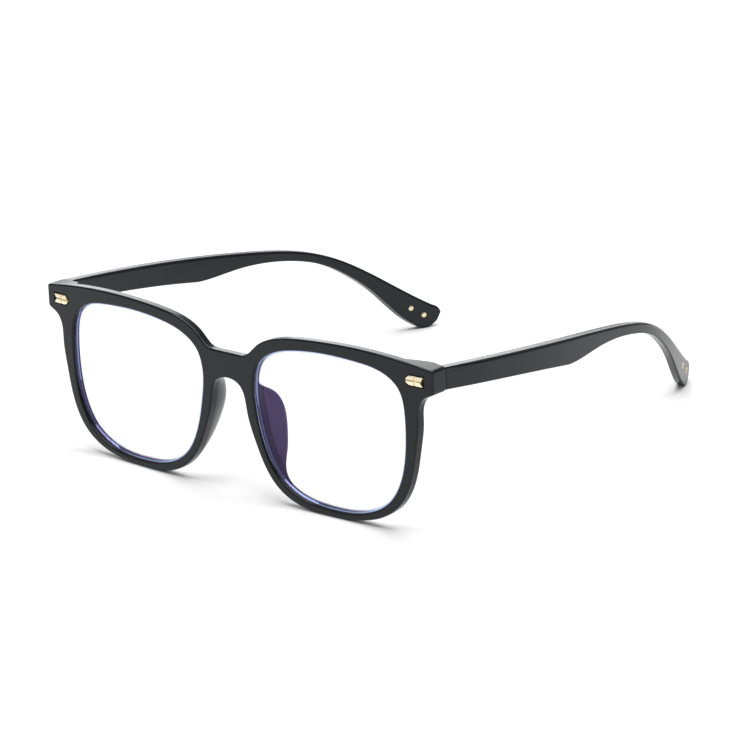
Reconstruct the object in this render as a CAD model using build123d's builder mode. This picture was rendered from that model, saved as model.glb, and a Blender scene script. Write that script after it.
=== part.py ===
from build123d import *
import os
from math import asin, cos, degrees, radians, sin, sqrt

# Full-rim square glasses with clear lenses, standing open on the rims and the two temple tips.
# X runs to the wearer's left, Y from the front face back to the tips, Z up. All sizes are in millimetres.
# The pieces of the left side are modelled, and the right side is their mirror image.
os.makedirs("parts", exist_ok=True)

# Whole object
LENGTH = 147.0  # front face to the end of the tips
FRONT_Y = -LENGTH / 2  # the front face at the middle, at floor level
TILT = 1.2  # degrees that the top of the front leans back
WRAP_RADIUS = 901.0  # the front is bent round a cylinder of this radius
TALLEST = 53.0  # more than the height of any piece
SIDE_CUT_START = 35.0  # sideways cuts run from here
SIDE_CUT_WIDTH = 45.0  # and this wide
CUT_REACH = 6.0  # cutting sketches start this far in front of the front face
CUT_DEPTH = 30.0  # and go this far back
BELOW_FRONT = 1.0  # pieces cut to the front's outline start this far below it

# Front
RIM_DEPTH = 3.0
RIM_BASE_Z = 0.1  # lifts the tilted front until its lower back edge stands on the floor
HALF_FRONT = 72.8  # middle of the bridge to the outer side of the end piece
BRIDGE_TOP = 40.9
BLOCK_BOTTOM = 41.2
BLOCK_TOP = 47.8
BLOCK_BACK = 9.1  # the end blocks are cut back from here by the seam plane
BLOCK_INNER = 69.2  # where the end block's back face turns towards the rim
BLOCK_FLOOR = 39.9  # the deeper block starts at this height
BLOCK_ROOT = 62.0  # where it has run out into the rim's back face
BLOCK_TAPER = 0.2  # the block's back face comes forward by this much at its inner side

# Underside of the bridge, (across, up), from its middle to the nose side of the left rim.
BRIDGE_ARCH = [(0, 33.4), (2.6, 33.0), (4.7, 31.8)]
# Edge of the left rim: down the nose side, along the bottom and up to the underside of the end piece.
RIM_EDGE = [
    (4.7, 31.8),
    (5.8, 29.8),
    (6.9, 24.4),
    (9.8, 16),
    (13.3, 9.1),
    (18.1, 4),
    (25.5, 0.8),
    (35, 0),
    (45, 0.6),
    (53.5, 2.8),
    (60.2, 7.6),
    (64.2, 15),
    (66.3, 24.5),
    (67.3, 32),
    (67.5, 36.3),
    (68.5, 38.6),
    (70.3, 40.1),
]
# Edge of the brow, from the end piece to the corner beside the bridge.
BROW_EDGE = [
    (HALF_FRONT, BLOCK_TOP),
    (62, 49.2),
    (47, 50.1),
    (33, 49.8),
    (23, 48.9),
    (16, 47.3),
    (11.2, 44.7),
    (8.2, 42),
    (5.6, BRIDGE_TOP),
]
# Edge of the lens opening, from the top round the nose side.
OPENING_EDGE = [
    (37, 46.6),
    (26, 45.8),
    (16.6, 43.4),
    (11.4, 39.5),
    (9.5, 32.8),
    (10.3, 25.2),
    (12.5, 16.6),
    (16.6, 9),
    (24, 3.8),
    (35, 2),
    (47.5, 3),
    (56.5, 7.8),
    (61, 15.3),
    (62.8, 25),
    (62.8, 34),
    (60.9, 41),
    (55.8, 44.6),
    (47, 46.2),
]

# Lenses: a meniscus whose edge sits in a groove round the opening.
LENS_RADIUS = 330.0
LENS_THICKNESS = 1.8
LENS_SEAT = 0.7  # how far the edge goes into the rim
LENS_FORWARD = 0.15  # the lens's middle stands this far in front of the rim's face
LENS_CENTRE = (36.2, 24.5)
LENS_BLANK = 36.0  # radius of the round blank that the lens is cut from

# Nose pads, moulded with the front: for each height the reach behind the rim.
PAD_STATIONS = [
    (33, 0.5),
    (29.8, 4.8),
    (25, 7.2),
    (19, 6.7),
    (13, 4.5),
    (8.5, 1.6),
    (6, 0.4),
]
PAD_ROOT = 1.2  # the pad starts this far behind the front face, inside the rim
PAD_THICKNESS = 2.5
PAD_INSET = 0.2
# Shape of each pad section, (across, back) added for each millimetre of reach
PAD_NOSE_FLARE = (0.3, 0.75)
PAD_CREST_FLARE = (0.4, 1.0)
PAD_LENS_FLARE = (0.42, 0.7)
PAD_CREST = 1.5  # the section's crest stands this far across from the nose side

# Hinges
SEAM_Y = FRONT_Y + 9.05  # the seam between end block and temple, at the hinge's middle height
SEAM_GAP = 0.15
HINGE_LEAN = 4.0  # degrees that the hinge axis and the seam lean back at the top
HINGE_X = 68.1
HINGE_Y = SEAM_Y + 0.6  # just behind the seam
HINGE_Z = 44.6
KNUCKLE_RADIUS = 1.35
KNUCKLE_STACK = 5.4
MIDDLE_KNUCKLE = 1.8
KNUCKLE_CLEARANCE = 0.05
KNUCKLE_RECESS = 0.2  # room for the knuckles in the back of the end block
FOOT_REACH = 3.5  # from the axis forward to the end of the foot in the end block
FOOT_WIDTH = 2.4
ANCHOR_WIDTH = 3.6
ANCHOR_LENGTH = 1.0
LEAF_THICKNESS = 0.9
LEAF_X = 2.8  # from the axis to the leaf's inner face
LEAF_LENGTH = 8.0
LEAF_HEIGHT = 4.0
ARM_FRONT = -0.35  # the arm's front and back faces, from the axis
ARM_BACK = 0.95
SCREW_RADIUS = 0.7
SCREW_HEAD_RADIUS = 1.05
SCREW_HEAD_HEIGHT = 0.5
SCREW_HEAD_PROUD = 0.1
SCREW_SHORT = 0.2  # the screw's tip stops this far inside the lower knuckle
SCREW_SLOT = 0.3  # width and depth
RUNNING_CLEARANCE = 0.03
GAP_CLEARANCE = 0.15  # room round the middle knuckle

# Temples: the outer face in plan, (back from the front face, across)
TEMPLE_OUTER = [(0, 72.5), (30, 74), (60, 72.8), (88, 69), (110, 64.7), (127, 58.8), (152, 48.1)]
# and the inner face
TEMPLE_INNER = [(0, 69), (30, 70.3), (60, 69.2), (88, 65.7), (110, 61.6), (127, 55.8), (152, 43.9)]
# Temple seen from the side, (back from the front face, up): upper edge from the seam to the tip
TEMPLE_TOP = [
    (0, 48.7),
    (25, 45.7),
    (60, 41),
    (88, 36.4),
    (103, 32.9),
    (115, 28),
    (127, 20.3),
    (144.8, 7.1),
]
# lower edge from the seam to a slight corner
TEMPLE_KEEL = [(0, 42.4), (25, 39.1), (45, 36.1), (62.3, 33)]
# from there to the tip's foot
TEMPLE_BOTTOM = [
    (62.3, 33),
    (70, 32.9),
    (78, 33.2),
    (88, 32.7),
    (100, 30.5),
    (110, 27),
    (119, 21.3),
    (127, 14.2),
    (135, 5),
    (141.3, 0),
]
# and round the tip's end.
TIP_END = [(141.3, 0), (144.2, 0.5), (146, 2.2), (146.9, 4.5), (146.4, 5.9), (144.8, 7.1)]
TIP_RIVETS = [(138.3, 7.3), (142.2, 4.4)]  # middles, (back, up)
RIVET_RADIUS = 0.9
RIVET_PROUD = 0.1

# Metal core in each temple, from the hinge leaf to the bend of the tip
CORE_HEIGHT = 1.5
CORE_THICKNESS = 0.9
CORE_PATH = [(17.7, 43.3), (60, 37.2), (88, 34.4), (102, 31.4), (112, 27.5), (124, 19.6)]

# Metal ornament on each end piece
ORNAMENT_PLACE = (66.7, 44.3)
ORNAMENT_LENGTH = 5.8
ORNAMENT_HEIGHT = 2.7
ORNAMENT_NOTCH = 0.8
ORNAMENT_POINT = (0.35, 1.1)  # the arrow's point widens over these two lengths
ORNAMENT_SHOULDER = 0.6  # part of the half height reached after the first
ORNAMENT_CHAMFER = 0.18
ORNAMENT_PROUD = 0.45
ORNAMENT_SEAT = 0.2
ORNAMENT_GROOVE = 0.28
ORNAMENT_GROOVE_DEPTH = 0.2
ORNAMENT_PIN_RADIUS = 0.4
ORNAMENT_PIN_LENGTH = 0.9


def wrap_depth(across, radius=WRAP_RADIUS):
    """How far a cylinder of this radius has curved back at a distance across."""
    return radius - sqrt(radius**2 - across**2)


def save(part, name):
    part.label = name
    export_step(part, f"parts/{name}.step")


def save_pair(part, name):
    """Writes a left piece and its mirror image."""
    with BuildPart() as twin:
        mirror(part, about=Plane.YZ)
    save(part, f"left_{name}")
    save(twin.part, f"right_{name}")


def from_front(points):
    """Moves (back, second) points from the front face to this model's Y."""
    return [(FRONT_Y + back, other) for back, other in points]


def shifted(points, across, along):
    return [(x + across, y + along) for x, y in points]


def widened(outline, distance):
    """Moves each point of a closed anticlockwise outline outwards, square to the line between its neighbours."""
    moved = []
    for before, (x, y), after in zip(outline[-1:] + outline[:-1], outline, outline[1:] + outline[:1]):
        along = Vector(after[0] - before[0], after[1] - before[1]).normalized()
        moved.append((x + distance * along.Y, y - distance * along.X))
    return moved


def band(first_edge, second_edge):
    """The area between two smooth edges that start level and end level."""
    with BuildSketch() as area:
        with BuildLine():
            Spline(*first_edge)
            Spline(*second_edge)
            Line(first_edge[0], second_edge[0])
            Line(first_edge[-1], second_edge[-1])
        make_face()
    return area.sketch


def across_at(plan_edge, y):
    """Where a smooth edge in plan crosses a given y."""
    edge = Spline(*plan_edge)
    crossing = edge.intersect(Line((0, y), (HALF_FRONT + 10, y)))
    return crossing[0].X if isinstance(crossing, list) else crossing.X


def nose_edge(height):
    """The front's edge beside the nose at a given height, between the points of RIM_EDGE."""
    for (x_above, above), (x_below, below) in zip(RIM_EDGE, RIM_EDGE[1:]):
        if below <= height <= above:
            return x_below + (x_above - x_below) * (height - below) / (above - below)
    return RIM_EDGE[0][0]


def flared(start, slope, reach):
    """A pad point that moves away from its start as the pad's reach grows."""
    return (start[0] + slope[0] * reach, start[1] + slope[1] * reach)


# The front's own planes: FRONT is its face seen from outside, PLAN looks down on it.
tilt = radians(TILT)
front_origin = (0, FRONT_Y, RIM_BASE_Z)
FRONT = Plane(origin=front_origin, x_dir=(1, 0, 0), z_dir=(0, -cos(tilt), sin(tilt)))
PLAN = Plane(origin=front_origin, x_dir=(1, 0, 0), z_dir=(0, sin(tilt), cos(tilt)))
BEFORE_FRONT = FRONT.offset(CUT_REACH)

# The hinge's plane: z along the axis, y backwards, origin at its middle height.
lean = radians(HINGE_LEAN)
hinge_axis = (0, sin(lean), cos(lean))
HINGE = Plane(origin=(HINGE_X, HINGE_Y, HINGE_Z), x_dir=(1, 0, 0), z_dir=hinge_axis)
SEAM = Plane(origin=(0, SEAM_Y, HINGE_Z), x_dir=(1, 0, 0), z_dir=(0, cos(lean), -sin(lean)))

# ---- Lenses ----
# Each lens is turned a little about the vertical, square to the wrapped front.
lens_turn = degrees(asin(LENS_CENTRE[0] / WRAP_RADIUS))
lens_place = Location(
    (LENS_CENTRE[0], LENS_CENTRE[1], LENS_FORWARD - wrap_depth(LENS_CENTRE[0])), (0, lens_turn, 0)
)
LENS = Plane(FRONT.location * lens_place)
LENS_SECTION = Plane(origin=LENS.origin, x_dir=LENS.x_dir, z_dir=LENS.y_dir)

with BuildPart() as lens:
    # A meniscus of revolution, drawn from its axis outwards with the depth behind its front vertex upwards.
    with BuildSketch(LENS_SECTION):
        with BuildLine():
            edge_depth = wrap_depth(LENS_BLANK, LENS_RADIUS)
            half_depth = wrap_depth(LENS_BLANK / 2, LENS_RADIUS)
            Line((0, 0), (0, LENS_THICKNESS))
            ThreePointArc(
                (0, LENS_THICKNESS),
                (LENS_BLANK / 2, half_depth + LENS_THICKNESS),
                (LENS_BLANK, edge_depth + LENS_THICKNESS),
            )
            Line((LENS_BLANK, edge_depth + LENS_THICKNESS), (LENS_BLANK, edge_depth))
            ThreePointArc((LENS_BLANK, edge_depth), (LENS_BLANK / 2, half_depth), (0, 0))
        make_face()
    revolve(axis=Axis(LENS.origin, LENS.z_dir))
    with BuildSketch(BEFORE_FRONT):
        with BuildLine():
            Spline(*widened(OPENING_EDGE, LENS_SEAT), periodic=True)
        make_face()
    extrude(amount=-CUT_DEPTH, mode=Mode.INTERSECT)
save_pair(lens.part, "lens")

# ---- End-piece ornaments ----
# A notched arrow head set into the front face, pointing at the nose, with two pins behind it.
ornament_turn = degrees(asin(ORNAMENT_PLACE[0] / WRAP_RADIUS))
ornament_place = Location(
    (ORNAMENT_PLACE[0], ORNAMENT_PLACE[1], -wrap_depth(ORNAMENT_PLACE[0])), (0, ornament_turn, 0)
)
ORNAMENT = Plane(FRONT.location * ornament_place)
half_length = ORNAMENT_LENGTH / 2
half_height = ORNAMENT_HEIGHT / 2

with BuildPart() as ornament:
    with BuildSketch(ORNAMENT.offset(-ORNAMENT_SEAT)):
        with BuildLine():
            Polyline(
                (-half_length, 0),
                (-half_length + ORNAMENT_POINT[0], half_height * ORNAMENT_SHOULDER),
                (-half_length + ORNAMENT_POINT[1], half_height),
                (half_length, half_height),
                (half_length - ORNAMENT_NOTCH, 0),
            )
            mirror(about=Plane.XZ)
        make_face()
    extrude(amount=ORNAMENT_SEAT + ORNAMENT_PROUD)
    top_edges = ornament.faces().sort_by(Axis(ORNAMENT.origin, ORNAMENT.z_dir))[-1].edges()
    chamfer(top_edges, ORNAMENT_CHAMFER)
    with BuildSketch(ORNAMENT.offset(ORNAMENT_PROUD - ORNAMENT_GROOVE_DEPTH)):
        Rectangle(ORNAMENT_LENGTH + 1, ORNAMENT_GROOVE)
        Rectangle(ORNAMENT_GROOVE, ORNAMENT_HEIGHT + 1)
    extrude(amount=ORNAMENT_PROUD, mode=Mode.SUBTRACT)
    with BuildSketch(ORNAMENT.offset(-ORNAMENT_SEAT)):
        with Locations((-half_length / 2, 0), (half_length / 2, 0)):
            Circle(ORNAMENT_PIN_RADIUS)
    extrude(amount=-ORNAMENT_PIN_LENGTH)
save_pair(ornament.part, "endpiece_ornament")

# ---- Hinges ----
# The front leaf: a foot anchored in the end block, and the upper and lower knuckles.
stack_bottom = HINGE.offset(-KNUCKLE_STACK / 2)
middle_gap = MIDDLE_KNUCKLE + 2 * KNUCKLE_CLEARANCE
with BuildPart() as front_hinge:
    with BuildSketch(stack_bottom):
        Circle(KNUCKLE_RADIUS)
        with Locations((0, -FOOT_REACH / 2)):
            Rectangle(FOOT_WIDTH, FOOT_REACH)
        with Locations((0, (ANCHOR_LENGTH / 2) - FOOT_REACH)):
            Rectangle(ANCHOR_WIDTH, ANCHOR_LENGTH)
    extrude(amount=KNUCKLE_STACK)
    with BuildSketch(HINGE.offset(-middle_gap / 2)):
        Circle(KNUCKLE_RADIUS + GAP_CLEARANCE)
        with Locations((0, KNUCKLE_RADIUS)):
            Rectangle(3 * KNUCKLE_RADIUS, 2 * KNUCKLE_RADIUS)
    extrude(amount=middle_gap, mode=Mode.SUBTRACT)
    with BuildSketch(stack_bottom):
        Circle(SCREW_RADIUS)
    extrude(amount=KNUCKLE_STACK, mode=Mode.SUBTRACT)
    with BuildSketch(HINGE.offset(KNUCKLE_STACK / 2)):
        Circle(SCREW_HEAD_RADIUS)
    extrude(amount=-SCREW_HEAD_HEIGHT, mode=Mode.SUBTRACT)
save_pair(front_hinge.part, "front_hinge")

with BuildPart() as screw:
    with BuildSketch(HINGE.offset(-KNUCKLE_STACK / 2 + SCREW_SHORT)):
        Circle(SCREW_RADIUS)
    extrude(amount=KNUCKLE_STACK - SCREW_SHORT - SCREW_HEAD_HEIGHT / 2)
    with BuildSketch(HINGE.offset(KNUCKLE_STACK / 2 - SCREW_HEAD_HEIGHT)):
        Circle(SCREW_HEAD_RADIUS)
    extrude(amount=SCREW_HEAD_HEIGHT + SCREW_HEAD_PROUD)
    with BuildSketch(HINGE.offset(KNUCKLE_STACK / 2 + SCREW_HEAD_PROUD)):
        Rectangle(3 * SCREW_HEAD_RADIUS, SCREW_SLOT)
    extrude(amount=-SCREW_SLOT, mode=Mode.SUBTRACT)
save_pair(screw.part, "hinge_screw")

# The temple leaf: the middle knuckle, an arm, and a plate that sits inside the temple.
with BuildPart() as temple_hinge:
    with BuildSketch(HINGE.offset(-MIDDLE_KNUCKLE / 2)):
        Circle(KNUCKLE_RADIUS)
        with BuildLine():
            Polyline(
                (0, ARM_FRONT),
                (LEAF_X + LEAF_THICKNESS / 2, ARM_FRONT),
                (LEAF_X + LEAF_THICKNESS / 2, ARM_BACK),
                (0, ARM_BACK),
                close=True,
            )
        make_face()
    extrude(amount=MIDDLE_KNUCKLE)
    with BuildSketch(HINGE.offset(-LEAF_HEIGHT / 2)):
        with Locations((LEAF_X, ARM_FRONT)):
            Rectangle(LEAF_THICKNESS, LEAF_LENGTH, align=(Align.MIN, Align.MIN))
    extrude(amount=LEAF_HEIGHT)
    with BuildSketch(HINGE.offset(-MIDDLE_KNUCKLE / 2)):
        Circle(SCREW_RADIUS + RUNNING_CLEARANCE)
    extrude(amount=MIDDLE_KNUCKLE, mode=Mode.SUBTRACT)
save_pair(temple_hinge.part, "temple_hinge")

# ---- Temples ----
# Each long piece is a band that follows the head in plan, cut to the outline that it has from the side.
temple_outer = from_front(TEMPLE_OUTER)
temple_inner = from_front(TEMPLE_INNER)
plan_outer = [(x, y) for y, x in temple_outer]
plan_inner = [(x, y) for y, x in temple_inner]
plan_middle = [((a + b) / 2, y) for (a, y), (b, _) in zip(plan_outer, plan_inner)]
SIDE = Plane.YZ.offset(SIDE_CUT_START)

with BuildPart() as core:
    with BuildSketch(Plane.XY):
        add(band(shifted(plan_middle, CORE_THICKNESS / 2, 0), shifted(plan_middle, -CORE_THICKNESS / 2, 0)))
    extrude(amount=TALLEST)
    with BuildSketch(SIDE):
        core_path = from_front(CORE_PATH)
        add(band(shifted(core_path, 0, CORE_HEIGHT / 2), shifted(core_path, 0, -CORE_HEIGHT / 2)))
    extrude(amount=SIDE_CUT_WIDTH, mode=Mode.INTERSECT)
save_pair(core.part, "temple_core")

# Two pins right through the flat of each tip, square to its faces.
rivets = []
for back, height in TIP_RIVETS:
    outer_x = across_at(plan_outer, FRONT_Y + back)
    inner_x = across_at(plan_inner, FRONT_Y + back)
    ahead_x = across_at(plan_outer, FRONT_Y + back - 1)
    behind_x = across_at(plan_outer, FRONT_Y + back + 1)
    through = Vector(2, ahead_x - behind_x, 0).normalized()
    face_gap = (outer_x - inner_x) * through.X
    middle = Vector((outer_x + inner_x) / 2, FRONT_Y + back, height)
    start = middle - through * (face_gap / 2 + RIVET_PROUD)
    with BuildPart() as rivet:
        with BuildSketch(Plane(origin=start, z_dir=through)):
            Circle(RIVET_RADIUS)
        extrude(amount=face_gap + 2 * RIVET_PROUD)
    rivets.append(rivet.part)
save_pair(rivets[0], "tip_rivet_front")
save_pair(rivets[1], "tip_rivet_rear")

with BuildPart() as temple:
    with BuildSketch(Plane.XY):
        add(band(plan_outer, plan_inner))
    extrude(amount=TALLEST)
    with BuildSketch(SIDE):
        with BuildLine():
            top = from_front(TEMPLE_TOP)
            keel = from_front(TEMPLE_KEEL)
            bottom = from_front(TEMPLE_BOTTOM)
            tip = from_front(TIP_END)
            Spline(*top)
            Spline(*keel)
            Spline(*bottom)
            Spline(*tip)
            Line(top[0], keel[0])
        make_face()
    extrude(amount=SIDE_CUT_WIDTH, mode=Mode.INTERSECT)
    split(bisect_by=SEAM.offset(SEAM_GAP), keep=Keep.TOP)
    for inner_piece in [temple_hinge.part, core.part, *rivets]:
        add(inner_piece, mode=Mode.SUBTRACT)
save_pair(temple.part, "temple")

# ---- Front ----
# The left half: a wrapped band and a deeper end block, cut to the front's outline with its lens opening.
with BuildPart() as half_front:
    with BuildSketch(PLAN.offset(-BELOW_FRONT)):
        with BuildLine():
            side_depth = wrap_depth(HALF_FRONT)
            ThreePointArc((-HALF_FRONT, side_depth), (0, 0), (HALF_FRONT, side_depth))
            ThreePointArc(
                (-HALF_FRONT, side_depth + RIM_DEPTH), (0, RIM_DEPTH), (HALF_FRONT, side_depth + RIM_DEPTH)
            )
            Line((-HALF_FRONT, side_depth), (-HALF_FRONT, side_depth + RIM_DEPTH))
            Line((HALF_FRONT, side_depth), (HALF_FRONT, side_depth + RIM_DEPTH))
        make_face()
    extrude(amount=TALLEST)
    with BuildSketch(PLAN.offset(BLOCK_FLOOR)):
        with BuildLine():
            root_depth = wrap_depth(BLOCK_ROOT)
            Polyline(
                (HALF_FRONT, side_depth + RIM_DEPTH / 2),
                (HALF_FRONT, BLOCK_BACK),
                (BLOCK_INNER, BLOCK_BACK - BLOCK_TAPER),
                (BLOCK_ROOT, root_depth + RIM_DEPTH),
                (BLOCK_ROOT, root_depth + RIM_DEPTH / 2),
                close=True,
            )
        make_face()
    extrude(amount=TALLEST - BLOCK_FLOOR)
    split(bisect_by=SEAM, keep=Keep.BOTTOM)
    with BuildSketch(BEFORE_FRONT):
        with BuildLine():
            ThreePointArc(*BRIDGE_ARCH)
            Spline(*RIM_EDGE)
            Line(RIM_EDGE[-1], (HALF_FRONT, BLOCK_BOTTOM))
            Line((HALF_FRONT, BLOCK_BOTTOM), (HALF_FRONT, BLOCK_TOP))
            Spline(*BROW_EDGE)
            Line(BROW_EDGE[-1], (0, BRIDGE_TOP))
            Line((0, BRIDGE_TOP), BRIDGE_ARCH[0])
        make_face()
        with BuildLine():
            Spline(*OPENING_EDGE, periodic=True)
        make_face(mode=Mode.SUBTRACT)
    extrude(amount=-CUT_DEPTH, mode=Mode.INTERSECT)

# The nose pad: a fin behind the nose side of the rim that leans outwards and is deepest below its middle.
with BuildPart() as nose_pad:
    for height, reach in PAD_STATIONS:
        with BuildSketch(PLAN.offset(height)):
            with BuildLine():
                edge = nose_edge(height) + PAD_INSET
                nose_side = flared((edge, RIM_DEPTH), PAD_NOSE_FLARE, reach)
                crest = flared((edge + PAD_CREST, RIM_DEPTH), PAD_CREST_FLARE, reach)
                lens_side = flared((edge + PAD_THICKNESS, RIM_DEPTH), PAD_LENS_FLARE, reach)
                Spline((edge, PAD_ROOT), nose_side, crest, lens_side, (edge + PAD_THICKNESS, PAD_ROOT))
                Line((edge + PAD_THICKNESS, PAD_ROOT), (edge, PAD_ROOT))
            make_face()
    loft()

with BuildPart() as front_frame:
    add(half_front.part)
    add(nose_pad.part)
    with BuildSketch(HINGE.offset(-KNUCKLE_STACK / 2 - KNUCKLE_RECESS)):
        Circle(KNUCKLE_RADIUS + KNUCKLE_RECESS)
    extrude(amount=KNUCKLE_STACK + 3 * KNUCKLE_RECESS, mode=Mode.SUBTRACT)
    for inner_piece in [lens.part, front_hinge.part, ornament.part]:
        add(inner_piece, mode=Mode.SUBTRACT)
    mirror(about=Plane.YZ)
save(front_frame.part, "front_frame")
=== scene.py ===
from math import asin, cos, exp, pi, radians, sin, tan

import bmesh
import bpy
import numpy as np
from mathutils import Matrix, Vector


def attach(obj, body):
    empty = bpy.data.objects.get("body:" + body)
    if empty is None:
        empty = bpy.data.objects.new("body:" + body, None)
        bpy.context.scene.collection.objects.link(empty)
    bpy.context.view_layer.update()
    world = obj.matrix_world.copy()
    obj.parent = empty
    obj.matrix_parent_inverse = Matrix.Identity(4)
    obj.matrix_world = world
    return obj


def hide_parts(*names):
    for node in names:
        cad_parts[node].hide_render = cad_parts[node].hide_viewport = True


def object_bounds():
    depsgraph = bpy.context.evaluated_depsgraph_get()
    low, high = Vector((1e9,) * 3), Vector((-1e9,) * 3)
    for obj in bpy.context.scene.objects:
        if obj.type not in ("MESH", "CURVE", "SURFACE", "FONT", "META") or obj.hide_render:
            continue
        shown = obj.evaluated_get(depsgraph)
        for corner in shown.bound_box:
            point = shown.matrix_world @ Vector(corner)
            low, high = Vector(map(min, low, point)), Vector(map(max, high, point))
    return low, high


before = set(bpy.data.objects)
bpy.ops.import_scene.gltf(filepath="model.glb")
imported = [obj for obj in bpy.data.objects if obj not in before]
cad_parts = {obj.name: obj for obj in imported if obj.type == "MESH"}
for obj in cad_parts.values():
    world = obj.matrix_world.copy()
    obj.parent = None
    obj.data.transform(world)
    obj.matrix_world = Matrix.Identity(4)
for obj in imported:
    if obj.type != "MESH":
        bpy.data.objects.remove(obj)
cad_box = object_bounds()

# Full-rim square glasses with clear lenses. The left half is drawn and the right half mirrors it.
# Sizes are in millimetres until a mesh is made.
MM = 0.001

# ---- Sizes shared with the part ----
FRONT_Y = -73.5
TILT = radians(1.2)  # the front leans back at its top
WRAP_RADIUS = 901.0  # the front's curve, seen from above
RIM_DEPTH = 3.0
RIM_BASE_Z = 0.1
HALF_FRONT = 72.8
BRIDGE_TOP = 40.9
BRIDGE_HALF = 5.6
BRIDGE_UNDERSIDE = 33.4
BLOCK_BOTTOM = 41.2
BLOCK_TOP = 47.8
BLOCK_INNER = 69.2
BLOCK_INNER_BACK = 8.9
BLOCK_BACK = 9.1
BLOCK_ROOT = 62.0
SEAM_Y = FRONT_Y + 9.05
SEAM_GAP = 0.06  # between the end block and the temple
HINGE_LEAN = radians(4)
HINGE_X, HINGE_Y, HINGE_Z = 68.1, SEAM_Y + 0.6, 44.6
KNUCKLE_ROOM = 1.62  # radius of the hollow round the hinge knuckles
KNUCKLE_STACK = 5.4

# Outlines of the front's left half, as (across, up)
BRIDGE_ARCH = [(0, BRIDGE_UNDERSIDE), (2.6, 33.0), (4.7, 31.8)]
RIM_EDGE = [
    (4.7, 31.8), (5.8, 29.8), (6.9, 24.4), (9.8, 16), (13.3, 9.1), (18.1, 4), (25.5, 0.8), (35, 0),
    (45, 0.6), (53.5, 2.8), (60.2, 7.6), (64.2, 15), (66.3, 24.5), (67.3, 32), (67.5, 36.3), (68.5, 38.6),
    (70.3, 40.1),
]
BROW_EDGE = [
    (HALF_FRONT, BLOCK_TOP), (62, 49.2), (47, 50.1), (33, 49.8), (23, 48.9), (16, 47.3), (11.2, 44.7),
    (8.2, 42), (BRIDGE_HALF, BRIDGE_TOP),
]
OPENING_EDGE = [
    (37, 46.6), (26, 45.8), (16.6, 43.4), (11.4, 39.5), (9.5, 32.8), (10.3, 25.2), (12.5, 16.6), (16.6, 9),
    (24, 3.8), (35, 2), (47.5, 3), (56.5, 7.8), (61, 15.3), (62.8, 25), (62.8, 34), (60.9, 41),
    (55.8, 44.6), (47, 46.2),
]
LENS_RADIUS = 330.0
LENS_THICKNESS = 1.8
LENS_SEAT = 0.7
LENS_FORWARD = 0.15
LENS_CENTRE = (36.2, 24.5)
LENS_PLAY = 0.05  # gap between the lens and its groove
# How far a nose pad stands out behind the rim, as (up, reach)
PAD_STATIONS = [
    (34, 0), (33, 0.5), (29.8, 4.8), (25, 7.2), (19, 6.7), (13, 4.5), (8.5, 1.6), (6, 0.4), (5, 0),
]

# A temple's sides, as (back, across), and its edges, as (back, up)
TEMPLE_OUTER = [(0, 72.5), (30, 74), (60, 72.8), (88, 69), (110, 64.7), (127, 58.8), (152, 48.1)]
TEMPLE_INNER = [(0, 69), (30, 70.3), (60, 69.2), (88, 65.7), (110, 61.6), (127, 55.8), (152, 43.9)]
TEMPLE_TOP = [
    (0, 48.7), (25, 45.7), (60, 41), (88, 36.4), (103, 32.9), (115, 28), (127, 20.3), (144.8, 7.1),
]
TEMPLE_KEEL = [(0, 42.4), (25, 39.1), (45, 36.1), (62.3, 33)]
TEMPLE_BOTTOM = [
    (62.3, 33), (70, 32.9), (78, 33.2), (88, 32.7), (100, 30.5), (110, 27), (119, 21.3), (127, 14.2),
    (135, 5), (141.3, 0),
]
TIP_END = [(141.3, 0), (144.2, 0.5), (146, 2.2), (146.9, 4.5), (146.4, 5.9), (144.8, 7.1)]
TIP_RIVETS = {"tip_rivet_front": (138.3, 7.3), "tip_rivet_rear": (142.2, 4.4)}  # as (back, up)
RIVET_RADIUS = 0.9

ORNAMENT_PLACE = (66.7, 44.3)
ORNAMENT_LENGTH = 5.8
ORNAMENT_HEIGHT = 2.7
ORNAMENT_NOTCH = 0.8
ORNAMENT_PROUD = 0.45
ORNAMENT_SEAT = 0.5
ORNAMENT_ROOM = 0.38  # gap between an ornament and the edge of its recess

# ---- Finish of the modelled pieces ----
ROUND = 0.5  # rounding of the front's and temples' long edges
BROW_BACK_ROUND = 0.8  # rounding along the back of the front's top
TEMPLE_TOP_ROUND = 0.95  # rounding along a temple's top
SEAM_ROUND = 0.07  # rounding beside the seam
ROUND_STEPS = 5
HOLD = 0.08  # distance of the extra loops that keep a flat face flat beside its rounded edge
SMOOTHING = 0.45  # the front outline's corners are softened over this length
TEMPLE_SMOOTHING = 0.5
PLASTIC_SHARP = 38  # edges of the plastic that turn by more than this many degrees stay crisp


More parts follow.
